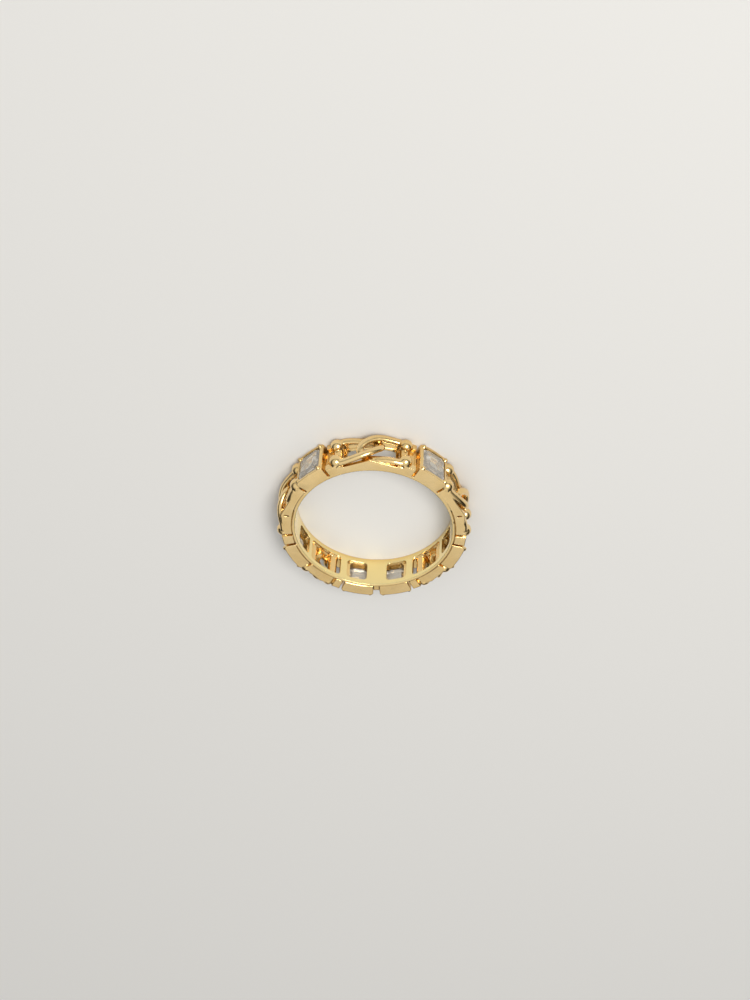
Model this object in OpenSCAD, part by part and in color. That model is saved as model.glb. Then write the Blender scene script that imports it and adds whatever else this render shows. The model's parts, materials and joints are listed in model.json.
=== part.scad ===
// Chain link ring: crossed chain links and step cut stones take turns round a pierced inner liner.
// The ring lies on its side: its axis is +Z, it rests on the edge at z = 0, and -Y is the middle of its front.

/* [Ring] */
// Inner diameter, the finger size
finger_d = 17.3; // [15:0.1:21]
// Width of the band, along the finger
band_w = 4; // [3.8:0.1:5]
// Wall of the plain inner liner
liner_t = 0.35; // [0.3:0.05:0.6]
// Width of the liner's whole edge beside its windows
rail_w = 0.6; // [0.55:0.05:0.8]
// Width of that edge beside the windows behind the stones
stone_rail_w = 0.7; // [0.68:0.02:0.9]
// Width of the two rails of the bore that touch the finger
bore_rail_w = 0.5; // [0.4:0.05:0.5]
// How far the liner between those rails stands back from the finger
bore_relief = 0.03; // [0.02:0.01:0.08]
// How far the windows behind the side and back stones are moved along the liner, towards the ring's front
window_shift = 0.4; // [0:0.02:0.5]
// Length of a window behind a stone
stone_window_l = 2.4; // [2:0.05:2.5]
// How far the liner reaches past the posts of a link at its window
sill_l = 0.1; // [0.05:0.01:0.3]
// How far the window under a back link starts before the link
back_window_past = 0.42; // [0.3:0.02:0.5]
// How far that window ends before the link does
back_window_in = 0.7; // [0.5:0.02:1]
// Groove between neighbouring units, down to the liner
groove_w = 0.24; // [0.2:0.02:0.5]
// How much wider than a groove the open notch at the middle of the back is
back_notch_l = 0.5; // [0.2:0.05:2]
// Height over the liner of the low bar that closes that notch
notch_bar_h = 1; // [0.6:0.05:1.1]
// How far that bar stands in from the band's edges
notch_bar_in = 0.4; // [0.2:0.05:0.8]
// Width and depth of the fine seam between the liner and the units, on both edges
seam_w = 0.09; // [0.06:0.01:0.15]
// How far the units' side faces stand in from the liner's edges
edge_in = 0.03; // [0.01:0.01:0.05]

/* [Links] */
// Length of the front link as a share of a side link
front_link_share = 1.12; // [1:0.01:1.2]
// Length of a back link as a share of a side link
back_link_share = 0.55; // [0.5:0.01:0.7]
// Height of a link's side walls over the liner at their ends
wall_end_h = 1.05; // [0.8:0.05:1.1]
// Height of a link's side walls over the liner at their peak
wall_peak_h = 1.3; // [1.1:0.05:1.4]
// The same two heights in the front link, whose walls are lower
front_wall_end_h = 0.75; // [0.7:0.05:1]
front_wall_peak_h = 1.1; // [1:0.05:1.25]
// Thickness of a link's side walls
wall_t = 0.5; // [0.35:0.05:0.7]
// Length of the small slit through a side link's walls, at their middle
slit_l = 0.5; // [0.3:0.05:0.6]
// Width of that slit
slit_w = 0.14; // [0.1:0.02:0.2]
// Height of that slit's middle over the liner
slit_h = 0.62; // [0.5:0.02:0.7]
// Diameter of the links' wire
wire_d = 0.72; // [0.6:0.02:0.76]
// Clearance between two wires where one crosses over the other
wire_gap = 0.05; // [0.03:0.01:0.1]
// Height of the wire's middle over the liner where two links cross
wire_mid_h = 1.08; // [1:0.02:1.2]
// Height of the wire's middle over the liner where it leaves its posts
wire_end_h = 1; // [0.8:0.02:1.1]
// How far in from the band's edge the wire's middle runs beside its posts
wire_in = 0.4; // [0.38:0.01:0.5]

/* [Posts and beads] */
// Width of a post, across the band
post_w = 0.75; // [0.6:0.05:0.9]
// Height over the liner of the part of a post that its bead sits on
seat_h = 0.7; // [0.5:0.05:0.9]
// Height of the rest of a post, from its bead to the end of the link
post_h = 1.3; // [1:0.05:1.4]
// The same height in the front link
front_post_h = 1; // [0.9:0.05:1.2]
// Diameter of the round bead on each post
bead_d = 1.5; // [1.2:0.05:1.6]
// Height of a bead's middle over the liner
bead_h = 1; // [0.8:0.05:1.1]
// How far a bead's middle stands from the end of the front link
front_bead_in = 1.3; // [1:0.05:1.6]
// How far it stands from the end of another link that faces the ring's front
near_bead_in = 0.25; // [0.15:0.05:0.6]
// How far it stands from the end of a side link that faces the ring's back
far_bead_in = 1.85; // [1.4:0.05:2]
// How far it stands from the end of a back link that faces the ring's back
back_bead_in = 1.5; // [1.2:0.05:1.6]
// Diameter of the bar between two posts
crossbar_d = 1.1; // [0.7:0.05:1.1]
// Height of that bar's middle over the liner
crossbar_h = 0.42; // [0.4:0.02:0.7]
// Height over the liner of the web between two posts at the ends of the front link
web_h = 0.5; // [0.3:0.05:0.6]
// Slot through the posts at the ends that face the ring's back
slot_w = 0.3; // [0.2:0.02:0.4]
// How far the middle of that slot stands from its bead's, towards the end of the link
slot_out = 0.4; // [0.3:0.02:0.6]

/* [Stones] */
// Length of a stone, along the band
stone_l = 2.9; // [2.4:0.1:3.3]
// Width of a stone, across the band
stone_w = 3.3; // [2.6:0.1:3.4]
// Height of the crown, from the girdle to the table
crown_h = 0.42; // [0.3:0.02:0.7]
// How far the table stands in from the girdle
crown_in = 0.62; // [0.4:0.02:0.8]
// Thickness of the girdle
girdle_t = 0.12; // [0.08:0.02:0.2]
// Depth of the pavilion, under the girdle
pavilion_h = 0.62; // [0.4:0.02:0.7]
// How far the pavilion's flat foot stands in from the girdle
pavilion_in = 0.7; // [0.5:0.05:0.9]
// Length cut off each corner of the girdle
girdle_cut_l = 0.36; // [0.2:0.02:0.5]
// Height of the girdle's lower edge over the liner
stone_seat_h = 1.12; // [0.9:0.02:1.2]
// Clearance between a stone and its setting
stone_gap = 0.04; // [0.03:0.01:0.08]

/* [Settings] */
// Wall of a setting at each end of its stone
end_wall_t = 0.37; // [0.3:0.01:0.45]
// Lip of a setting over the girdle
lip_h = 0.1; // [0.04:0.01:0.12]
// Ledge under the stone, round the window
ledge_w = 0.3; // [0.25:0.01:0.5]
// How far a setting's long sides rise over its ends, at their middle
setting_crest = 0.11; // [0.05:0.01:0.15]
// Size of a setting's rounded outer edges, at each end of its stone
setting_round = 0.35; // [0.2:0.05:0.4]
// Diameter of the round grain on each corner of a setting
grain_d = 0.5; // [0.4:0.05:0.6]

/* [Hidden] */
$fn = 64;
finger_r = finger_d / 2;
liner_r = finger_r + liner_t;
mid_z = band_w / 2;
// Height over the liner of the flat top of a setting
setting_h = stone_seat_h + girdle_t + lip_h;
// Past everything, for cuts
past = band_w;
// Where a unit's outline starts, well inside the bore, which is cut last
core_r = finger_r / 2;

// Angle that a length along the band takes at a height over the liner
function arc_of(l, h) = 2 * atan(l / 2 / (liner_r + h));

// The arcs of the units: the links share what the stones and the notch leave
stone_arc = arc_of(stone_l + 2 * (stone_gap + end_wall_t) + groove_w, stone_seat_h);
notch_arc = arc_of(back_notch_l, setting_h);
side_arc = (360 - 6 * stone_arc - notch_arc) / (2 + front_link_share + 2 * back_link_share);
front_arc = side_arc * front_link_share;
back_arc = side_arc * back_link_share;
// Middles of the units on one side, counted from the middle of the front
side_link_at = (front_arc + side_arc) / 2 + stone_arc;
back_link_at = front_arc / 2 + 2 * stone_arc + side_arc + back_arc / 2;
stone_at = [
    (front_arc + stone_arc) / 2,
    front_arc / 2 + 1.5 * stone_arc + side_arc,
    front_arc / 2 + 2.5 * stone_arc + side_arc + back_arc,
];
// Middles of all the stones, once round the ring
STONES = concat(stone_at, [for (i = [2, 1, 0]) -stone_at[i]]);
// Heights of a link's walls at their ends and peak, and of its posts
link_heights = [wall_end_h, wall_peak_h, post_h];
front_heights = [front_wall_end_h, front_wall_peak_h, front_post_h];
// Links: middle, arc, how far the beads stand in at the first end and at the last end round the ring, which end
// has a slot (1 the first, -1 the last, 0 none), and the heights
LINKS = [
    [0, front_arc, front_bead_in, front_bead_in, 0, front_heights],
    [side_link_at, side_arc, near_bead_in, far_bead_in, -1, link_heights],
    [-side_link_at, side_arc, far_bead_in, near_bead_in, 1, link_heights],
    [back_link_at, back_arc, near_bead_in, back_bead_in, -1, link_heights],
    [-back_link_at, back_arc, back_bead_in, near_bead_in, 1, link_heights],
];

// A link's wire, from one post to its closed end and back to the other post, as shares:
// along the open half of the link, across from the middle of the band, and up from the wire's middle height
OVER_LEG = [
    [1.12, 1, 0],
    [0.88, 1, 0.05],
    [0.62, 0.97, 0.35],
    [0.4, 0.92, 0.7],
    [0.17, 0.8, 1],
    [-0.02, 0.62, 1.05],
    [-0.2, 0.36, 0.95],
    [-0.34, 0.08, 0.55],
];
UNDER_LEG = [
    [-0.37, -0.2, 0],
    [-0.3, -0.52, -0.65],
    [-0.15, -0.76, -1],
    [0.03, -0.84, -1],
    [0.2, -0.87, -0.9],
    [0.55, -0.94, -0.4],
    [0.88, -1, -0.05],
    [1.12, -1, 0],
];
LOOP = concat(OVER_LEG, UNDER_LEG);
wire_sides = 6;
steps_a_span = 2;

// Steps of a stone, as shares: of the crown's or pavilion's height, and of how far its flat stands in
CROWN_STEP = [0.58, 0.42];
PAVILION_STEP = [0.45, 0.36];
// How much of the corner is left at the table and at the foot
flat_corner = 0.55;

function unit(v) = v / norm(v);
function mix(a, b, t) = a + (b - a) * t;
// A smooth curve through four points in turn, between the middle two
function smooth(a, b, c, d, t) =
    (2 * b + (c - a) * t + (2 * a - 5 * b + 4 * c - d) * t * t + (3 * b - a - 3 * c + d) * t * t * t) / 2;

// Turns to a unit's middle: there +X points out of the ring and +Z along its axis
module at_unit(middle) {
    rotate([0, 0, -90 - middle]) children();
}

// An outline seen along the ring's axis, in radius and angle, made into walls of thickness t on both edges
module walls(outline, t) {
    for (z = [edge_in, band_w - edge_in - t])
        translate([0, 0, z])
            linear_extrude(height = t)
                polygon([for (p = outline) [p[0] * cos(p[1]), p[0] * sin(p[1])]]);
}

// Angle of a place in a unit, a length in from its end past half a groove
function from_end(arc, l) = arc / 2 - arc_of(2 * l + groove_w, bead_h) / 2;

// Eight corners on the plane x of an outline with cut corners, from its half length, half width and corner
function cut_outline(x, l, w, k) =
    let (half = [[l, w - k], [l - k, w], [k - l, w], [-l, w - k]])
    [for (p = concat(half, -half)) [x, p[0], mid_z + p[1]]];

// A stone's outline on the plane x, "inset" in from the girdle and "gap" larger all round
function stone_ring(x, inset, gap, corner) =
    cut_outline(x, stone_l / 2 - inset + gap, stone_w / 2 - inset + gap, corner + gap * (2 - sqrt(2)));

// A solid through rings of eight corners, the lowest first
module stone_solid(rings) {
    n = 8;
    polyhedron(
        points = [for (ring = rings) for (p = ring) p],
        faces = concat(
            [[for (i = [0:n - 1]) i]],
            [[for (i = [n - 1:-1:0]) (len(rings) - 1) * n + i]],
            [for (r = [0:len(rings) - 2]) for (i = [0:n - 1])
                [r * n + i, (r + 1) * n + i, (r + 1) * n + (i + 1) % n, r * n + (i + 1) % n]]
        )
    );
}

// One step cut stone, its table outwards
module stone(number) {
    seat = liner_r + stone_seat_h;
    rise = seat + girdle_t;
    color([0.86, 0.85, 0.86, 0.8])
        at_unit(STONES[number - 1])
            stone_solid([
                stone_ring(seat - pavilion_h, pavilion_in, 0, girdle_cut_l * flat_corner),
                stone_ring(seat - pavilion_h * PAVILION_STEP[0], pavilion_in * PAVILION_STEP[1], 0,
                    mix(girdle_cut_l, girdle_cut_l * flat_corner, PAVILION_STEP[1])),
                stone_ring(seat, 0, 0, girdle_cut_l),
                stone_ring(rise, 0, 0, girdle_cut_l),
                stone_ring(rise + crown_h * CROWN_STEP[0], crown_in * CROWN_STEP[1], 0,
                    mix(girdle_cut_l, girdle_cut_l * flat_corner, CROWN_STEP[1])),
                stone_ring(rise + crown_h, crown_in, 0, girdle_cut_l * flat_corner),
            ]);
}

// What a setting leaves open for its stone, and the window below it
module stone_hollow() {
    seat = liner_r + stone_seat_h - stone_gap;
    stone_solid([
        stone_ring(seat - pavilion_h, pavilion_in, stone_gap, girdle_cut_l * flat_corner),
        stone_ring(seat - pavilion_h * PAVILION_STEP[0], pavilion_in * PAVILION_STEP[1], stone_gap,
            mix(girdle_cut_l, girdle_cut_l * flat_corner, PAVILION_STEP[1])),
        stone_ring(seat, 0, stone_gap, girdle_cut_l),
        stone_ring(seat + past, 0, stone_gap, girdle_cut_l),
    ]);
    stone_solid([
        stone_ring(liner_r - liner_t / 4, ledge_w, 0, girdle_cut_l),
        stone_ring(seat, ledge_w, 0, girdle_cut_l),
    ]);
}

// Window in the liner behind a stone, turned towards the ring's front at the sides and back
module stone_window(middle) {
    turned = abs(middle) > 90 ? sign(middle) * arc_of(window_shift, 0) : 0;
    half_w = mid_z - stone_rail_w;
    rotate([0, 0, turned])
        stone_solid([for (x = [core_r, liner_r + seam_w])
            cut_outline(x, stone_window_l / 2, half_w, girdle_cut_l)]);
}

// The block that holds a stone. Its ends are straight, its long sides rise to a low crest, and the edges
// between them are rounded
module setting_block() {
    side = tan(stone_arc / 2);
    gap = groove_w / 2;
    top_r = liner_r + setting_h + setting_crest;
    // where an end meets the crest, before it is rounded
    x = (side * gap + sqrt(top_r * top_r * (1 + side * side) - gap * gap)) / (1 + side * side);
    corner = [x, x * side - gap];
    flat = atan(corner[1] / corner[0]) - arc_of(setting_round, setting_h);
    low = corner - setting_round * [cos(stone_arc / 2), sin(stone_arc / 2)];
    high = top_r * [cos(flat), sin(flat)];
    edge = [for (t = [0:0.25:1]) mix(mix(low, corner, t), mix(corner, high, t), t)];
    crest = [for (i = [3:-1:-3]) top_r * [cos(flat * i / 4), sin(flat * i / 4)]];
    translate([0, 0, edge_in])
        linear_extrude(height = band_w - 2 * edge_in)
            polygon(concat(
                [[core_r, core_r * side - gap]], edge, crest,
                [for (i = [len(edge) - 1:-1:0]) [edge[i][0], -edge[i][1]]],
                [[core_r, gap - core_r * side]]
            ));
}

// The low bar between the two back settings
module notch_bar() {
    half = (back_notch_l + groove_w + end_wall_t) / 2;
    translate([core_r, -half, notch_bar_in])
        cube([liner_r + notch_bar_h - core_r, 2 * half, band_w - 2 * notch_bar_in]);
}

// Round grains on a setting's corners, just clear of the stone
module grains() {
    out = (grain_d / 2 + 2 * stone_gap) / sqrt(2) - girdle_cut_l / 2;
    for (y = [-1, 1], z = [-1, 1])
        translate([liner_r + setting_h, y * (stone_l / 2 + out), mid_z + z * (stone_w / 2 + out)])
            sphere(d = grain_d, $fn = 24);
}

// Angle of the inner side of a link's posts, which reach just past their beads
function inner_of(arc, bead_in) = from_end(arc, bead_in + bead_d / 2);

// Side walls of a link, straight from each end to the peak, with its posts, which are lower under their beads
module link_walls(arc, first_in, last_in, heights) {
    end = from_end(arc, 0);
    walls([
        [core_r, -end], [liner_r + heights[0], -end], [liner_r + heights[1], 0],
        [liner_r + heights[0], end], [core_r, end],
    ], wall_t);
    for (post = [[1, first_in], [-1, last_in]]) {
        seat = liner_r + seat_h;
        inner = post[0] * inner_of(arc, post[1]);
        step = post[0] * from_end(arc, post[1]);
        top = [[liner_r + heights[2], step], [liner_r + heights[2], post[0] * end]];
        walls(concat(
            [[core_r, inner], [seat, inner]],
            post[1] > bead_d / 2 ? concat([[seat, step]], top) : [[seat, post[0] * end]],
            [[core_r, post[0] * end]]
        ), post_w);
    }
}

// Webs between the posts at both ends of a link, from the crossbar into the wall of the setting beside it
module end_webs(arc, bead_in) {
    far = from_end(arc, bead_in - crossbar_d / 4);
    near = from_end(arc, -groove_w - end_wall_t / 2);
    top_r = liner_r + web_h;
    for (side = [-1, 1])
        translate([0, 0, post_w / 2])
            linear_extrude(height = band_w - post_w)
                polygon([for (p = [[core_r, near], [top_r, near], [top_r, far], [core_r, far]])
                    [p[0] * cos(p[1]), side * p[0] * sin(p[1])]]);
}

// Window in the liner under a link, between its posts. Under a back link it is longer, and starts before
// the link
module link_window(arc, first_in, last_in) {
    near = arc / 2 + arc_of(back_window_past, 0);
    far = arc / 2 - arc_of(back_window_in, 0);
    first = arc != back_arc ? inner_of(arc, first_in + sill_l) : first_in < last_in ? near : far;
    last = arc != back_arc ? inner_of(arc, last_in + sill_l) : first_in < last_in ? far : near;
    translate([0, 0, rail_w])
        rotate([0, 0, -last])
            rotate_extrude(angle = first + last)
                translate([core_r, 0]) square([liner_r + seam_w - core_r, band_w - 2 * rail_w]);
}

// Slot through the posts at one end of a link, on both edges of the band
module end_slot(arc, bead_in, side) {
    middle = from_end(arc, bead_in - slot_out);
    deep = post_w + seam_w;
    rotate([0, 0, side * middle])
        for (z = [deep - past, band_w - deep])
            translate([liner_r - seam_w, -slot_w / 2, z]) cube([past, slot_w, past]);
}

// Small slit through both side walls of a side link, at their middle
module wall_slit() {
    deep = wall_t + seam_w;
    for (z = [deep - past, band_w - deep])
        translate([liner_r + slit_h - slit_l / 2, -slit_w / 2, z]) cube([slit_l, slit_w, past]);
}

// Round beads on a link's posts, and the bar between each two
module beads(arc, first_in, last_in) {
    for (end = [[1, first_in], [-1, last_in]])
        rotate([0, 0, end[0] * from_end(arc, end[1])]) {
            for (z = [bead_d / 2, band_w - bead_d / 2])
                translate([liner_r + bead_h, 0, z]) sphere(d = bead_d);
            translate([liner_r + crossbar_h, 0, post_w / 2])
                cylinder(d = crossbar_d, h = band_w - post_w);
        }
}

// Middle of the wire at a row of the loop's table, for a link that is open over "free" degrees each way
function loop_point(row, free) =
    let (
        near = min(1, abs(row[0])),
        r = liner_r + mix(wire_mid_h, wire_end_h, near) + row[2] * (wire_d + wire_gap) / 2,
        angle = row[0] * free
    )
    [r * cos(angle), r * sin(angle), mid_z + row[1] * (mid_z - wire_in)];

function loop_path(free) =
    let (last = len(LOOP) - 1, p = [for (row = LOOP) loop_point(row, free)])
    [for (i = [0:last - 1]) for (s = [0:steps_a_span - (i == last - 1 ? 0 : 1)])
        smooth(p[max(0, i - 1)], p[i], p[i + 1], p[min(last, i + 2)], s / steps_a_span)];

// One link's bent wire, as a tube along its path
module loop(free) {
    path = loop_path(free);
    n = len(path);
    function way_of(i) = path[min(n - 1, i + 1)] - path[max(0, i - 1)];
    function side_of(i) = unit(cross(way_of(i), [path[i][0], path[i][1], 0]));
    function up_of(i) = unit(cross(side_of(i), way_of(i)));
    polyhedron(
        points = [for (i = [0:n - 1]) for (k = [0:wire_sides - 1])
            let (a = 360 * (k + 0.5) / wire_sides)
            path[i] + wire_d / 2 * (cos(a) * side_of(i) + sin(a) * up_of(i))],
        faces = concat(
            [[for (k = [wire_sides - 1:-1:0]) k]],
            [[for (k = [0:wire_sides - 1]) (n - 1) * wire_sides + k]],
            [for (i = [0:n - 2]) for (k = [0:wire_sides - 1])
                let (a = i * wire_sides + k, b = i * wire_sides + (k + 1) % wire_sides)
                each [[a, b, b + wire_sides], [a, b + wire_sides, a + wire_sides]]]
        )
    );
}

// Two bent wires hooked through each other between the posts, each over the other on its own edge of the band
module crossed_loops(arc, first_in, last_in) {
    first = inner_of(arc, first_in);
    last = inner_of(arc, last_in);
    free = (first + last) / 2;
    rotate([0, 0, (first - last) / 2]) {
        loop(free);
        translate([0, 0, band_w]) rotate([180, 0, 0]) loop(free);
    }
}

// Fine seam between the liner and the units, on both edges of the band
module seams() {
    for (z = [seam_w - past, band_w - seam_w])
        translate([0, 0, z])
            difference() {
                cylinder(r = liner_r + seam_w / 2, h = past);
                cylinder(r = liner_r - seam_w / 2, h = past);
            }
}

module band() {
    color([0.85, 0.68, 0.42]) {
        difference() {
            union() {
                cylinder(r = liner_r, h = band_w);
                for (middle = STONES) at_unit(middle) setting_block();
                for (link = LINKS) at_unit(link[0]) link_walls(link[1], link[2], link[3], link[5]);
                at_unit(0) end_webs(front_arc, front_bead_in);
                at_unit(180) notch_bar();
            }
            translate([0, 0, -past]) cylinder(r = finger_r, h = band_w + 2 * past);
            translate([0, 0, bore_rail_w]) cylinder(r = finger_r + bore_relief, h = band_w - 2 * bore_rail_w);
            for (middle = STONES) at_unit(middle) {
                stone_hollow();
                stone_window(middle);
            }
            for (link = LINKS) at_unit(link[0]) link_window(link[1], link[2], link[3]);
            for (link = LINKS) if (link[4] != 0)
                at_unit(link[0]) end_slot(link[1], max(link[2], link[3]), link[4]);
            for (middle = [side_link_at, -side_link_at]) at_unit(middle) wall_slit();
            seams();
        }
        for (middle = STONES) at_unit(middle) grains();
        for (link = LINKS) at_unit(link[0]) beads(link[1], link[2], link[3]);
        for (link = LINKS) at_unit(link[0]) crossed_loops(link[1], link[2], link[3]);
    }
}

band();
stone(1);  // stone_1
stone(2);  // stone_2
stone(3);  // stone_3
stone(4);  // stone_4
stone(5);  // stone_5
stone(6);  // stone_6
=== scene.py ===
import json
import math

import bpy
import bmesh
from mathutils import Matrix, Vector


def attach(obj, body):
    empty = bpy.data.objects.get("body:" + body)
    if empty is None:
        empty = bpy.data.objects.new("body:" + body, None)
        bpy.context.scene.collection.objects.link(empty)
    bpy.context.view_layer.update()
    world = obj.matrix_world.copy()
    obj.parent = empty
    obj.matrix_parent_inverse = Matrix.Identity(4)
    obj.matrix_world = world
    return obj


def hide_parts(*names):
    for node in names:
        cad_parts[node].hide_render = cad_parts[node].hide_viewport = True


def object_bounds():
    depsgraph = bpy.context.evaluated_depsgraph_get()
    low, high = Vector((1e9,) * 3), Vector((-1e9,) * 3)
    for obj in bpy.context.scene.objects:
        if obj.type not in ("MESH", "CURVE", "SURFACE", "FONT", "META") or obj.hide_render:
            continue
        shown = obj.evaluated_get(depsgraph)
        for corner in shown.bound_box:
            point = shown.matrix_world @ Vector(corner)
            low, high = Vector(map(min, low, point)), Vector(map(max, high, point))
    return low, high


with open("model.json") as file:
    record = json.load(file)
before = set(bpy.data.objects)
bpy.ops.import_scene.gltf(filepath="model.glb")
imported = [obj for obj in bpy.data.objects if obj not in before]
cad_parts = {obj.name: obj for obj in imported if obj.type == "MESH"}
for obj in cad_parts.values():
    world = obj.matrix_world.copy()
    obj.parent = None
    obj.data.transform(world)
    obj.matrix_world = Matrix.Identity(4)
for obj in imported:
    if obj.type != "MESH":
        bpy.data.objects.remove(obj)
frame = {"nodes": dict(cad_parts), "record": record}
cad_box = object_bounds()

# Camera. It stands in front of the front link and above it, at the photograph's angle to the ring. The ring
# lies on its side, so the photograph's upright is -Y here, and the camera is turned upside down to match.
look_down = math.radians(43.2)  # off the ring's axis, towards its front
look_aside = math.radians(-2.5)
walk_round = math.radians(-2.0)
look_distance = 0.2
picture_wide, picture_high = 750, 1000
pixels_a_metre = 9060
ring_in_picture = (374.1, 516.8)
ring_middle = Vector((0, 0, (cad_box[0][2] + cad_box[1][2]) / 2))

turn = Matrix.Rotation(walk_round, 3, "Z")
right = turn @ Vector((-math.cos(look_aside), 0, math.sin(look_aside)))
up = turn @ Vector((-math.sin(look_aside) * math.sin(look_down), -math.cos(look_down),
                    -math.cos(look_aside) * math.sin(look_down)))
back = right.cross(up)
camera_data = bpy.data.cameras.new("camera")
camera_data.sensor_width = 36
camera_data.lens = camera_data.sensor_width * pixels_a_metre * look_distance / picture_high
camera_data.clip_start = 0.001
camera = bpy.data.objects.new("camera", camera_data)
aside = (ring_in_picture[0] - picture_wide / 2) / pixels_a_metre
below = (ring_in_picture[1] - picture_high / 2) / pixels_a_metre
camera_place = ring_middle + back * look_distance - right * aside + up * below
camera_turn = Matrix((right, up, back)).transposed().to_4x4()
camera.matrix_world = Matrix.Translation(camera_place) @ camera_turn
bpy.context.scene.collection.objects.link(camera)
bpy.context.scene.camera = camera

# Inner liner. A thin plain ring of cast metal that the finger touches, with rounded windows behind every
# stone and link. It is worked in millimetres, and so is all that is soldered to it. The whole band is made
# metres at the end.
bore = next(m for m in frame["record"]["mounts"] if m["name"] == "finger_bore")
finger_r = bore["dims"]["r_mm"]
band_w = bore["dims"]["length_mm"]
liner_t = 0.35
liner_r = finger_r + liner_t
rail_w = 0.6
liner_sides = 288
front_at = -90  # degrees from +X to the middle of the ring's front
past = 1  # how far a cutter reaches beyond the band's edges
window_corner = 0.42
window_corner_steps = 5
window_point_gap = 0.2
window_past = 0.4


def arc_of(length, height):
    """Degrees that a length along the band takes at a height over the liner."""
    return 2 * math.degrees(math.atan(length / 2 / (liner_r + height)))


def to_unit(middle):
    """Turns a unit's own frame, +X out of the ring and +Z along its axis, to where the unit sits."""
    return Matrix.Rotation(math.radians(front_at - middle), 4, "Z")


def solid(rings, place=None, capped=True):
    """A closed body through rings of as many points each, or a ring of them that closes on itself."""
    metal = bmesh.new()
    rows = [[metal.verts.new(p) for p in ring] for ring in rings]
    count = len(rows[0])
    for a, b in zip(rows, rows[1:] + ([] if capped else rows[:1])):
        for i in range(count):
            j = (i + 1) % count
            metal.faces.new((a[i], a[j], b[j], b[i]))
    if capped:
        metal.faces.new(reversed(rows[0]))
        metal.faces.new(rows[-1])
    bmesh.ops.recalc_face_normals(metal, faces=metal.faces)
    if place is not None:
        metal.transform(place)
    mesh = bpy.data.meshes.new("solid")
    metal.to_mesh(mesh)
    metal.free()
    return mesh


def joined(meshes):
    """Several meshes as one."""
    metal = bmesh.new()
    for mesh in meshes:
        metal.from_mesh(mesh)
    mesh = bpy.data.meshes.new("joined")
    metal.to_mesh(mesh)
    metal.free()
    return mesh


def worked(mesh, *modifiers):
    """The mesh after modifiers, each a type and its settings."""
    blank = bpy.data.objects.new("blank", mesh)
    bpy.context.scene.collection.objects.link(blank)
    for kind, settings in modifiers:
        modifier = blank.modifiers.new(kind, kind)
        for name, value in settings.items():
            setattr(modifier, name, value)
    bpy.context.view_layer.update()
    finished = blank.evaluated_get(bpy.context.evaluated_depsgraph_get())
    result = bpy.data.meshes.new_from_object(finished)
    bpy.data.objects.remove(blank)
    return result


def cut(mesh, cutter_mesh):
    """The mesh with the cutters' space taken out."""
    cutter = bpy.data.objects.new("cutter", cutter_mesh)
    bpy.context.scene.collection.objects.link(cutter)
    take_out = {"operation": "DIFFERENCE", "object": cutter, "solver": "MANIFOLD"}
    result = worked(mesh, ("BOOLEAN", take_out))
    bpy.data.objects.remove(cutter)
    return result


def tube(inner, outer, low, high, sides):
    """A plain tube round the ring's axis."""
    corners = ((inner, low), (outer, low), (outer, high), (inner, high))
    turns = [2 * math.pi * i / sides for i in range(sides)]
    rings = [[(r * math.cos(a), r * math.sin(a), z) for r, z in corners] for a in turns]
    return solid(rings, capped=False)


def window(middle, arc, width, corner):
    """A window through the liner, with round corners, as a body that stands through it."""
    half_l, half_w = math.radians(arc / 2) * liner_r, width / 2
    outline = []
    for turn in range(4):
        for step in range(window_corner_steps + 1):
            a = math.pi / 2 * (turn + step / window_corner_steps)
            side_l = 1 if turn in (0, 3) else -1
            side_w = 1 if turn in (0, 1) else -1
            outline.append((side_l * (half_l - corner) + corner * math.cos(a),
                            side_w * (half_w - corner) + corner * math.sin(a)))
    # long sides get more points, so that the window follows the liner's curve
    rounded = []
    for (l0, w0), (l1, w1) in zip(outline, outline[1:] + outline[:1]):
        pieces = max(1, round(abs(l1 - l0) / window_point_gap))
        rounded += [(l0 + (l1 - l0) * i / pieces, w0 + (w1 - w0) * i / pieces)
                    for i in range(pieces)]
    shells = []
    for r in (finger_r - window_past, liner_r + window_past):
        shells.append([(r * math.cos(l / liner_r), r * math.sin(l / liner_r), band_w / 2 + w)
                       for l, w in rounded])
    return solid(shells, to_unit(middle))


# Stone settings. Six boxes, cast with the liner, each hollowed for a step cut stone that sits on a ledge
# round its window. A low lip holds the girdle, and a round grain is pushed up at each corner. A low bar
# closes the notch between the two settings at the back.
stone_l = 2.9
stone_w = 3.3
stone_gap = 0.04
stone_seat_h = 1.12
girdle_t = 0.12
pavilion_h = 0.62
pavilion_in = 0.7
pavilion_step = (0.45, 0.36)
girdle_cut_l = 0.36
flat_corner = 0.55
end_wall_t = 0.37
lip_h = 0.1
ledge_w = 0.3
grain_d = 0.5
groove_w = 0.24
edge_in = 0.03
smooth_to = 45  # up to here from the front, the units run into the liner without a step
setting_crest = 0.11
setting_round = 0.35
edge_steps = 6
crest_steps = 8
ball_rounds = 3
root_depth = 0.12  # how far what is soldered on reaches into the liner
back_notch_l = 0.5
notch_bar_h = 1.0
notch_bar_in = 0.4
stone_rail_w = 0.7
stone_window_l = 2.4
window_shift = 0.4
shift_from = 90  # the stones from here to the back have their windows moved
front_link_share = 1.12
back_link_share = 0.55

setting_h = stone_seat_h + girdle_t + lip_h
stone_arc = arc_of(stone_l + 2 * (stone_gap + end_wall_t) + groove_w, stone_seat_h)
notch_arc = arc_of(back_notch_l, setting_h)
side_arc = (360 - 6 * stone_arc - notch_arc) / (2 + front_link_share + 2 * back_link_share)
front_arc = side_arc * front_link_share
back_arc = side_arc * back_link_share
stone_at = [(front_arc + stone_arc) / 2,
            front_arc / 2 + 1.5 * stone_arc + side_arc,
            front_arc / 2 + 2.5 * stone_arc + side_arc + back_arc]
stone_at += [-middle for middle in reversed(stone_at)]


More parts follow.
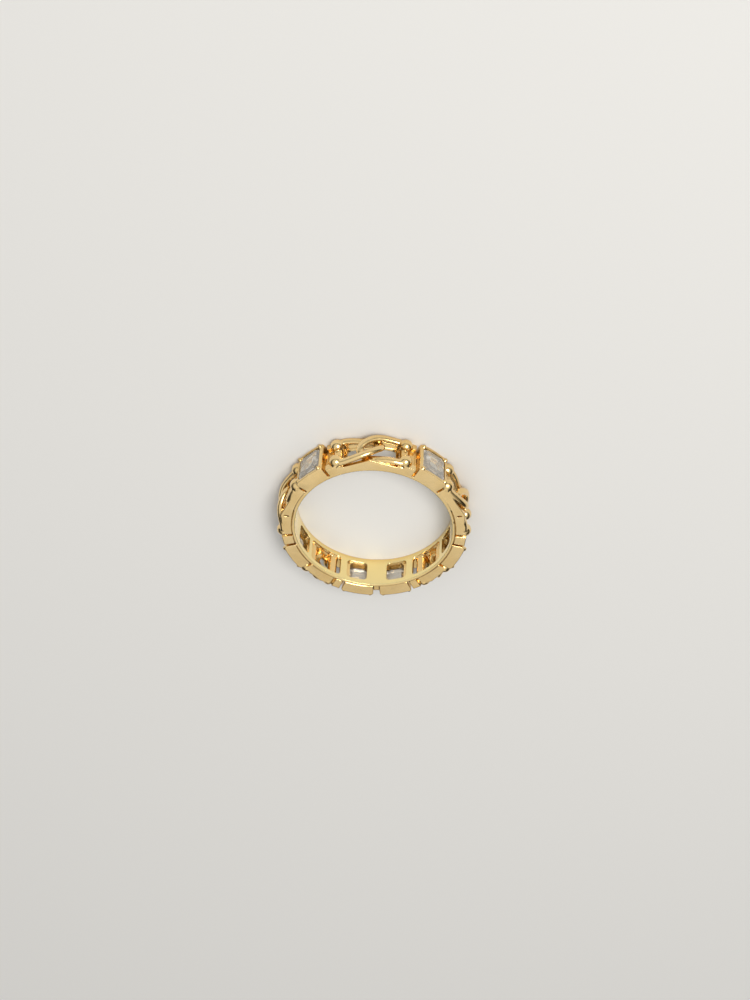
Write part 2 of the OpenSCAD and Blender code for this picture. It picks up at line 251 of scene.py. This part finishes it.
def stone_outline(x, inset, corner):
    """Eight corners of a stone's outline at a height, standing in from the girdle."""
    l, w = stone_l / 2 - inset, stone_w / 2 - inset
    k = corner
    flat = ((l, w - k), (l - k, w), (k - l, w), (-l, w - k),
            (-l, k - w), (k - l, -w), (l - k, -w), (l, k - w))
    return [(x, y, band_w / 2 + z) for y, z in flat]


def setting(middle):
    """One box setting, hollowed for its stone. Its long sides rise to a low crest, with rounded ends."""
    half_arc = math.radians(stone_arc / 2)
    side, gap = math.tan(half_arc), groove_w / 2
    top, bottom = liner_r + setting_h + setting_crest, liner_r - root_depth
    x = (side * gap + math.sqrt(top ** 2 * (1 + side ** 2) - gap ** 2)) / (1 + side ** 2)
    corner = Vector((x, x * side - gap))
    flat = math.atan2(corner.y, corner.x) - math.radians(arc_of(setting_round, setting_h))
    low = corner - setting_round * Vector((math.cos(half_arc), math.sin(half_arc)))
    high = top * Vector((math.cos(flat), math.sin(flat)))
    shares = [i / edge_steps for i in range(edge_steps + 1)]
    edge = [low.lerp(corner, t).lerp(corner.lerp(high, t), t) for t in shares]
    crest = [(top * math.cos(flat * i / crest_steps), top * math.sin(flat * i / crest_steps))
             for i in range(crest_steps - 1, -crest_steps, -1)]
    outline = [(bottom, bottom * side - gap)] + [tuple(p) for p in edge] + crest
    outline += [(p.x, -p.y) for p in reversed(edge)] + [(bottom, gap - bottom * side)]
    step = 0 if abs(middle) < smooth_to else edge_in
    box = solid([[(x, y, z) for x, y in outline] for z in (step, band_w - step)])
    seat = liner_r + stone_seat_h - stone_gap
    foot_corner = girdle_cut_l * flat_corner
    step_corner = girdle_cut_l + (foot_corner - girdle_cut_l) * pavilion_step[1]
    step_in = pavilion_in * pavilion_step[1]
    hollow = solid([
        stone_outline(seat - pavilion_h, pavilion_in - stone_gap, foot_corner),
        stone_outline(seat - pavilion_h * pavilion_step[0], step_in - stone_gap, step_corner),
        stone_outline(seat, -stone_gap, girdle_cut_l),
        stone_outline(top + window_past, -stone_gap, girdle_cut_l),
    ])
    below = solid([stone_outline(x, ledge_w, window_corner) for x in (bottom - window_past, seat)])
    box = cut(cut(box, hollow), below)
    box.transform(to_unit(middle))
    return box


def ball(diameter, x, y, z, place):
    """A round bead or grain."""
    metal = bmesh.new()
    bmesh.ops.create_icosphere(metal, subdivisions=ball_rounds, radius=diameter / 2)
    metal.transform(place @ Matrix.Translation((x, y, z)))
    mesh = bpy.data.meshes.new("ball")
    metal.to_mesh(mesh)
    metal.free()
    return mesh


def grains(middle):
    """The four grains of one setting, just clear of the stone's cut corners."""
    out = (grain_d / 2 + 2 * stone_gap) / math.sqrt(2) - girdle_cut_l / 2
    far_l, far_w = stone_l / 2 + out, stone_w / 2 + out
    return [ball(grain_d, liner_r + setting_h, y * far_l, band_w / 2 + z * far_w, to_unit(middle))
            for y in (-1, 1) for z in (-1, 1)]


def stone_window(middle):
    """The window behind one stone. At the sides and back it sits a little towards the front."""
    shift = math.copysign(arc_of(window_shift, 0), middle) if abs(middle) > shift_from else 0
    return window(middle - shift, arc_of(stone_window_l, 0), band_w - 2 * stone_rail_w, window_corner)


bar_half = (back_notch_l + groove_w + end_wall_t) / 2
bar_foot, bar_top = liner_r - root_depth, liner_r + notch_bar_h
bar_ends = [(bar_foot, -bar_half), (bar_top, -bar_half), (bar_top, bar_half), (bar_foot, bar_half)]
bar_edges = (notch_bar_in, band_w - notch_bar_in)
notch_bar = solid([[(x, y, z) for x, y in bar_ends] for z in bar_edges], to_unit(180))
stone_windows = [stone_window(middle) for middle in stone_at]
settings = [setting(middle) for middle in stone_at]
all_grains = [grain for middle in stone_at for grain in grains(middle)]

# Link walls and posts. Each chain link is a frame on the liner: two side walls that rise to a low peak, and a
# pair of posts at each end. The side and back links have a sawn slot through the posts at the end that faces
# the back of the ring, and the side links a small slit through their walls.
wall_end_h = 1.05
wall_peak_h = 1.3
front_wall_end_h = 0.75
front_wall_peak_h = 1.1
wall_t = 0.5
post_w = 0.75
seat_h = 0.7
post_h = 1.3
front_post_h = 1.0
bead_d = 1.5
front_bead_in = 1.3
near_bead_in = 0.25
far_bead_in = 1.85
back_bead_in = 1.5
slot_w = 0.3
slot_out = 0.4
slot_floor_h = 0.02
slit_l = 0.5
slit_w = 0.14
slit_h = 0.62
sill_l = 0.1
back_window_past = 0.42
back_window_in = 0.7
link_mid_h = 1  # height over the liner at which lengths along a link are measured
root_steps = 12
side_link_at = (front_arc + side_arc) / 2 + stone_arc
back_link_at = front_arc / 2 + 2 * stone_arc + side_arc + back_arc / 2
# middle, arc, how far the beads stand in at both ends, and the end that has the slot
links = [(0, front_arc, front_bead_in, front_bead_in, 0),
         (side_link_at, side_arc, near_bead_in, far_bead_in, -1),
         (-side_link_at, side_arc, far_bead_in, near_bead_in, 1),
         (back_link_at, back_arc, near_bead_in, back_bead_in, -1),
         (-back_link_at, back_arc, back_bead_in, near_bead_in, 1)]


def from_end(arc, length):
    """Angle of a place in a unit, a length in from its end."""
    return arc / 2 - arc_of(2 * length + groove_w, link_mid_h) / 2


def inner_of(arc, bead_in):
    """Angle of the inner side of a link's posts, which reach just past their beads."""
    return from_end(arc, bead_in + bead_d / 2)


def upright(outline, low, high, place):
    """A body whose outline is seen along the ring's axis, in radius and degrees."""
    flat = [(r * math.cos(math.radians(a)), r * math.sin(math.radians(a))) for r, a in outline]
    return solid([[(x, y, z) for x, y in flat] for z in (low, high)], place)


def saw_cut(low_h, high_h, at, width, place):
    """A cutter through both walls, between two heights over the liner."""
    half = arc_of(width, (low_h + high_h) / 2) / 2
    low, high = liner_r + low_h, liner_r + high_h
    corners = [(low, at - half), (high, at - half), (high, at + half), (low, at + half)]
    return upright(corners, -past, band_w + past, place)


def link_frame(middle, arc, first_in, last_in, slot_side):
    """The walls and posts of one link, on both edges of the band."""
    end = from_end(arc, 0)
    foot = liner_r - root_depth
    root = [(foot, end - 2 * end * i / root_steps) for i in range(root_steps + 1)]
    place = to_unit(middle)
    ends, peak, top = wall_end_h, wall_peak_h, liner_r + post_h
    if arc == front_arc:
        ends, peak, top = front_wall_end_h, front_wall_peak_h, liner_r + front_post_h
    wall = [(liner_r + ends, -end), (liner_r + peak, 0), (liner_r + ends, end)] + root
    outlines = [(wall_t, wall)]
    for side, bead_in in ((1, first_in), (-1, last_in)):
        seat, outer = liner_r + seat_h, side * end
        inner, step = side * inner_of(arc, bead_in), side * from_end(arc, bead_in)
        outlines.append((post_w, [(foot, inner), (seat, inner), (seat, outer), (foot, outer)]))
        if bead_in > bead_d / 2:
            outlines.append((post_w, [(foot, step), (top, step), (top, outer), (foot, outer)]))
    bodies = []
    step_in = 0 if abs(middle) < smooth_to else edge_in
    for t, outline in outlines:
        bodies += [upright(outline, step_in, step_in + t, place),
                   upright(outline, band_w - step_in - t, band_w - step_in, place)]
    if slot_side:
        at = slot_side * from_end(arc, max(first_in, last_in) - slot_out)
        saw = saw_cut(slot_floor_h, wall_peak_h + past, at, slot_w, place)
        bodies = [cut(body, saw) for body in bodies]
    if arc == side_arc:
        saw = saw_cut(slit_h - slit_l / 2, slit_h + slit_l / 2, 0, slit_w, place)
        bodies = [cut(body, saw) for body in bodies]
    return bodies


def link_window(middle, arc, first_in, last_in, slot_side):
    """The window under one link, between its posts. A back link's starts before the link does."""
    first, last = inner_of(arc, first_in + sill_l), inner_of(arc, last_in + sill_l)
    if arc == back_arc:
        near, far = arc / 2 + arc_of(back_window_past, 0), arc / 2 - arc_of(back_window_in, 0)
        first, last = (near, far) if first_in < last_in else (far, near)
    return window(middle - (first - last) / 2, first + last, band_w - 2 * rail_w, window_corner)


link_windows = [link_window(*link) for link in links]
frames = [body for link in links for body in link_frame(*link)]

# Beads and crossbars. A polished round bead sits on every post, and a short round bar ties the two posts at
# an end of a link, as the pin of a chain's end link does. They are soldered to the posts.
bead_h = 1.0
crossbar_d = 1.1
crossbar_h = 0.42
crossbar_sides = 32
web_h = 0.5


def beads_and_bars(middle, arc, first_in, last_in, slot_side):
    """Four beads and two crossbars of one link, and the webs that close the ends of the front link."""
    made = []
    turns = [2 * math.pi * i / crossbar_sides for i in range(crossbar_sides)]
    for side, bead_in in ((1, first_in), (-1, last_in)):
        swing = math.radians(side * from_end(arc, bead_in))
        place = to_unit(middle) @ Matrix.Rotation(swing, 4, "Z")
        made += [ball(bead_d, liner_r + bead_h, 0, z, place) for z in (bead_d / 2, band_w - bead_d / 2)]
        bar = [[(liner_r + crossbar_h + crossbar_d / 2 * math.cos(a), crossbar_d / 2 * math.sin(a), z)
                for a in turns] for z in (post_w / 2, band_w - post_w / 2)]
        made.append(solid(bar, place))
    if arc == front_arc:
        foot, top = liner_r - root_depth, liner_r + web_h
        for side in (-1, 1):
            near = side * from_end(arc, -groove_w - end_wall_t / 2)
            far = side * from_end(arc, first_in)
            web = [(foot, near), (top, near), (top, far), (foot, far)]
            made.append(upright(web, post_w / 2, band_w - post_w / 2, to_unit(middle)))
    return made


beads = [body for link in links for body in beads_and_bars(*link)]

# Crossed wire links. Two bent wires hook through each other in every link. Each springs from the posts at
# its own end, passes over the other on one edge of the band and under it on the other, and closes past the
# middle.
wire_w = 0.82
wire_h = 0.68
wire_gap = 0.05
wire_mid_h = 1.08
wire_end_h = 1.0
wire_in = 0.43
wire_sides = 16
wire_steps = 8
# shares: along the open half of the link, across from the middle, and up from the wire's middle height
over_leg = [(1.12, 1, 0), (0.88, 1, 0.05), (0.62, 0.97, 0.35), (0.4, 0.92, 0.7),
            (0.17, 0.8, 1), (-0.02, 0.62, 1.05), (-0.2, 0.36, 0.95), (-0.34, 0.08, 0.55)]
under_leg = [(-0.37, -0.2, 0), (-0.3, -0.52, -0.65), (-0.15, -0.76, -1), (0.03, -0.84, -1),
             (0.2, -0.87, -0.9), (0.55, -0.94, -0.4), (0.88, -1, -0.05), (1.12, -1, 0)]
loop_rows = over_leg + under_leg


def loop_point(along, across, lift, free):
    """A point of the wire's middle line, from one row of shares."""
    near = min(1, abs(along))
    r = liner_r + wire_mid_h + (wire_end_h - wire_mid_h) * near + lift * (wire_h + wire_gap) / 2
    angle = math.radians(along * free)
    z = band_w / 2 + across * (band_w / 2 - wire_in)
    return Vector((r * math.cos(angle), r * math.sin(angle), z))


def smooth_path(points, steps):
    """A smooth line through points."""
    line = []
    for i in range(len(points) - 1):
        a, b = points[max(0, i - 1)], points[i]
        c, d = points[i + 1], points[min(len(points) - 1, i + 2)]
        for s in range(steps):
            t = s / steps
            line.append((2 * b + (c - a) * t + (2 * a - 5 * b + 4 * c - d) * t ** 2
                         + (3 * b - a - 3 * c + d) * t ** 3) / 2)
    return line + [points[-1]]


def bent_wire(free):
    """One link's wire, slightly flat, along its path."""
    line = smooth_path([loop_point(*row, free) for row in loop_rows], wire_steps)
    turns = [2 * math.pi * k / wire_sides for k in range(wire_sides)]
    rings = []
    for i, p in enumerate(line):
        way = (line[min(len(line) - 1, i + 1)] - line[max(0, i - 1)]).normalized()
        side = way.cross(Vector((p.x, p.y, 0))).normalized()
        out = side.cross(way)
        rings.append([p + side * wire_w / 2 * math.cos(a) + out * wire_h / 2 * math.sin(a)
                      for a in turns])
    return solid(rings)


def crossed_wires(middle, arc, first_in, last_in, slot_side):
    """Both wires of one link, between its posts; the second is the first turned over."""
    first, last = inner_of(arc, first_in), inner_of(arc, last_in)
    one = bent_wire((first + last) / 2)
    other = one.copy()
    other.transform(Matrix.Translation((0, 0, band_w)) @ Matrix.Rotation(math.pi, 4, "X"))
    swing = math.radians((first - last) / 2)
    for wire in (one, other):
        wire.transform(to_unit(middle) @ Matrix.Rotation(swing, 4, "Z"))
    return [one, other]


wires = [wire for link in links for wire in crossed_wires(*link)]

# The cast band. All the metal is one casting: the pieces above run into each other with soft corners, as cast
# and tumbled metal does, and the whole is plated and polished gold.
grain_size = 0.042
soften_share = 0.5
soften_times = 8
face_share = 0.15
seam_w = 0.1
seam_deep = 0.12
seam_from, seam_to = 72, 288
metre = 0.001
gold_dark = (0.88, 0.62, 0.26, 1)
gold_light = (0.93, 0.69, 0.33, 1)
# painted shade: the darker, browner base colour given to the recesses
gold_painted_shade = (0.68, 0.42, 0.11, 1)
# painted light: the paler base colour given to the bore in place of a bright reflection
gold_painted_bore_light = (0.97, 0.8, 0.38, 1)
cloud_scale = 260
cloud_detail = 3
cloud_range = (0.35, 0.65)
# painted shade: how far the occlusion test reaches, its rays, and the range over which it darkens the colour
painted_shade_reach = 1.6
painted_shade_rays = 6
painted_shade_range = (0.25, 0.75)
# painted light: how far out from the bore the paler colour reaches
bore_light_depth = 0.08
polish_scale = 1400
polish_detail = 4
polish_range = (0.3, 0.7)
gloss_range = (0.14, 0.26)
ripple_strength = 0.08
ripple_h = 0.02


def seam(low, high):
    """A cutter for the fine seam between the liner and the units, round the back of one edge."""
    inner, outer = liner_r - seam_w / 2, liner_r + seam_w / 2
    corners = ((inner, low), (outer, low), (outer, high), (inner, high))
    rings = []
    for i in range(liner_sides + 1):
        a = math.radians(front_at - seam_from - (seam_to - seam_from) * i / liner_sides)
        rings.append([(r * math.cos(a), r * math.sin(a), z) for r, z in corners])
    return solid(rings)


liner = cut(tube(finger_r, liner_r, 0, band_w, liner_sides), joined(stone_windows + link_windows))
casting = worked(joined([liner, notch_bar] + settings + all_grains + frames + beads + wires),
                 ("REMESH", {"mode": "VOXEL", "voxel_size": grain_size, "use_smooth_shade": True}),
                 ("SMOOTH", {"factor": soften_share, "iterations": soften_times}))
casting = cut(casting, joined([seam(-past, seam_deep), seam(band_w - seam_deep, band_w + past)]))
casting = worked(casting, ("DECIMATE", {"ratio": face_share}))
casting.validate()
casting.transform(Matrix.Scale(metre, 4))
casting.shade_smooth()
band = bpy.data.objects.new("cast_band", casting)
bpy.context.scene.collection.objects.link(band)

gold = bpy.data.materials.new("polished gold plate")
gold.use_nodes = True
gold_nodes, gold_links = gold.node_tree.nodes, gold.node_tree.links
metal_skin = gold_nodes["Principled BSDF"]
metal_skin.inputs["Metallic"].default_value = 1
metal_skin.inputs["Coat Weight"].default_value = 0.5
metal_skin.inputs["Coat Roughness"].default_value = 0.05
place = gold_nodes.new("ShaderNodeTexCoord")

# the plating's tone changes a little from place to place
cloud = gold_nodes.new("ShaderNodeTexNoise")
cloud.inputs["Scale"].default_value = cloud_scale
cloud.inputs["Detail"].default_value = cloud_detail
gold_links.new(place.outputs["Object"], cloud.inputs["Vector"])
tint = gold_nodes.new("ShaderNodeValToRGB")
tint.color_ramp.elements[0].position = cloud_range[0]
tint.color_ramp.elements[0].color = gold_dark
tint.color_ramp.elements[1].position = cloud_range[1]
tint.color_ramp.elements[1].color = gold_light
gold_links.new(cloud.outputs["Fac"], tint.inputs["Fac"])

# painted light: the bore's base colour is made paler than the cast faces, standing in for the bright
# reflection inside it
flat = gold_nodes.new("ShaderNodeVectorMath")
flat.operation = "MULTIPLY"
flat.inputs[1].default_value = (1, 1, 0)
gold_links.new(place.outputs["Object"], flat.inputs[0])
from_axis = gold_nodes.new("ShaderNodeVectorMath")
from_axis.operation = "LENGTH"
gold_links.new(flat.outputs["Vector"], from_axis.inputs[0])
in_bore = gold_nodes.new("ShaderNodeMath")
in_bore.operation = "LESS_THAN"
in_bore.inputs[1].default_value = (finger_r + bore_light_depth) * metre
gold_links.new(from_axis.outputs["Value"], in_bore.inputs[0])
bore_painted_light = gold_nodes.new("ShaderNodeMix")
bore_painted_light.data_type = "RGBA"
bore_painted_light.inputs["B"].default_value = gold_painted_bore_light
gold_links.new(in_bore.outputs["Value"], bore_painted_light.inputs["Factor"])
gold_links.new(tint.outputs["Color"], bore_painted_light.inputs["A"])

# painted shade: deep between the links, where the occlusion test finds little open space, the base colour is
# mixed towards a darker, browner gold
shade_probe = gold_nodes.new("ShaderNodeAmbientOcclusion")
shade_probe.samples = painted_shade_rays
shade_probe.inputs["Distance"].default_value = painted_shade_reach * metre
openness = gold_nodes.new("ShaderNodeMapRange")
openness.inputs["From Min"].default_value = painted_shade_range[0]
openness.inputs["From Max"].default_value = painted_shade_range[1]
gold_links.new(shade_probe.outputs["AO"], openness.inputs["Value"])
painted_shade_mix = gold_nodes.new("ShaderNodeMix")
painted_shade_mix.data_type = "RGBA"
painted_shade_mix.inputs["A"].default_value = gold_painted_shade
gold_links.new(openness.outputs["Result"], painted_shade_mix.inputs["Factor"])
gold_links.new(bore_painted_light.outputs["Result"], painted_shade_mix.inputs["B"])
gold_links.new(painted_shade_mix.outputs["Result"], metal_skin.inputs["Base Color"])

# fine polishing marks, in the gloss and as a faint ripple
polish = gold_nodes.new("ShaderNodeTexNoise")
polish.inputs["Scale"].default_value = polish_scale
polish.inputs["Detail"].default_value = polish_detail
gold_links.new(place.outputs["Object"], polish.inputs["Vector"])
gloss = gold_nodes.new("ShaderNodeMapRange")
gloss.inputs["From Min"].default_value = polish_range[0]
gloss.inputs["From Max"].default_value = polish_range[1]
gloss.inputs["To Min"].default_value = gloss_range[0]
gloss.inputs["To Max"].default_value = gloss_range[1]
gold_links.new(polish.outputs["Fac"], gloss.inputs["Value"])
gold_links.new(gloss.outputs["Result"], metal_skin.inputs["Roughness"])
ripple = gold_nodes.new("ShaderNodeBump")
ripple.inputs["Strength"].default_value = ripple_strength
ripple.inputs["Distance"].default_value = ripple_h * metre
gold_links.new(polish.outputs["Fac"], ripple.inputs["Height"])
gold_links.new(ripple.outputs["Normal"], metal_skin.inputs["Normal"])
band.data.materials.clear()
band.data.materials.append(gold)
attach(band, "root")
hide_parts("band")

# Stones. Six clear step cut stones, each held by its ledge, lip and grains. They are cut crystal, so they are
# bright and bend light strongly, with a faint warm tone.
crystal = bpy.data.materials.new("clear cut crystal")
crystal.use_nodes = True
cut_face = crystal.node_tree.nodes["Principled BSDF"]
cut_face.inputs["Base Color"].default_value = (1.0, 0.97, 0.9, 1)
cut_face.inputs["Transmission Weight"].default_value = 0.8
cut_face.inputs["IOR"].default_value = 1.75
cut_face.inputs["Roughness"].default_value = 0.03
for number in range(1, 7):
    stone = frame["nodes"][f"stone_{number}"]
    stone.data.materials.clear()
    stone.data.materials.append(crystal)

# Floor and light. The ring lies on a plain pale floor under a soft studio sky that is brightest over its
# front, with a strong soft lamp beyond the front link and a wide, weak panel beyond the back.
floor_half = 0.3
floor_corners = [(-floor_half, -floor_half, 0), (floor_half, -floor_half, 0),
                 (floor_half, floor_half, 0), (-floor_half, floor_half, 0)]
sky_middle = (0, -0.45, 0.89)
sky_range = (0.22, 0.9)
sky_strength = (0.04, 0.8)
lamp_colour = (1, 0.98, 0.95)

floor_mesh = bpy.data.meshes.new("floor")
floor_mesh.from_pydata(floor_corners, [], [(0, 1, 2, 3)])
floor = bpy.data.objects.new("floor", floor_mesh)
bpy.context.scene.collection.objects.link(floor)
paper = bpy.data.materials.new("pale floor")
paper.use_nodes = True
paper_skin = paper.node_tree.nodes["Principled BSDF"]
paper_skin.inputs["Base Color"].default_value = (0.78, 0.775, 0.755, 1)
paper_skin.inputs["Roughness"].default_value = 0.9
floor_mesh.materials.append(paper)

sky = bpy.data.worlds.new("studio")
sky.use_nodes = True
bpy.context.scene.world = sky
sky_nodes, sky_links = sky.node_tree.nodes, sky.node_tree.links
sky_nodes["Background"].inputs["Color"].default_value = (1, 0.99, 0.97, 1)
aim = sky_nodes.new("ShaderNodeTexCoord")
toward = sky_nodes.new("ShaderNodeVectorMath")
toward.operation = "DOT_PRODUCT"
toward.inputs[1].default_value = sky_middle
sky_links.new(aim.outputs["Generated"], toward.inputs[0])
glow = sky_nodes.new("ShaderNodeMapRange")
glow.interpolation_type = "SMOOTHSTEP"
glow.inputs["From Min"].default_value = sky_range[0]
glow.inputs["From Max"].default_value = sky_range[1]
glow.inputs["To Min"].default_value = sky_strength[0]
glow.inputs["To Max"].default_value = sky_strength[1]
sky_links.new(toward.outputs["Value"], glow.inputs["Value"])
sky_links.new(glow.outputs["Result"], sky_nodes["Background"].inputs["Strength"])


def lamp(name, place, size, power):
    """A square soft lamp that looks at the ring."""
    data = bpy.data.lights.new(name, "AREA")
    data.size = size
    data.energy = power
    data.color = lamp_colour
    light = bpy.data.objects.new(name, data)
    light.location = place
    light.rotation_mode = "QUATERNION"
    light.rotation_quaternion = (Vector(place) - ring_middle).to_track_quat("Z", "Y")
    bpy.context.scene.collection.objects.link(light)


lamp("key", place=(-0.12, -0.22, 0.3), size=0.16, power=0.88)
lamp("panel", place=(0.01, 0.24, 0.26), size=0.22, power=0.095)
bpy.context.scene.view_settings.view_transform = "Standard"
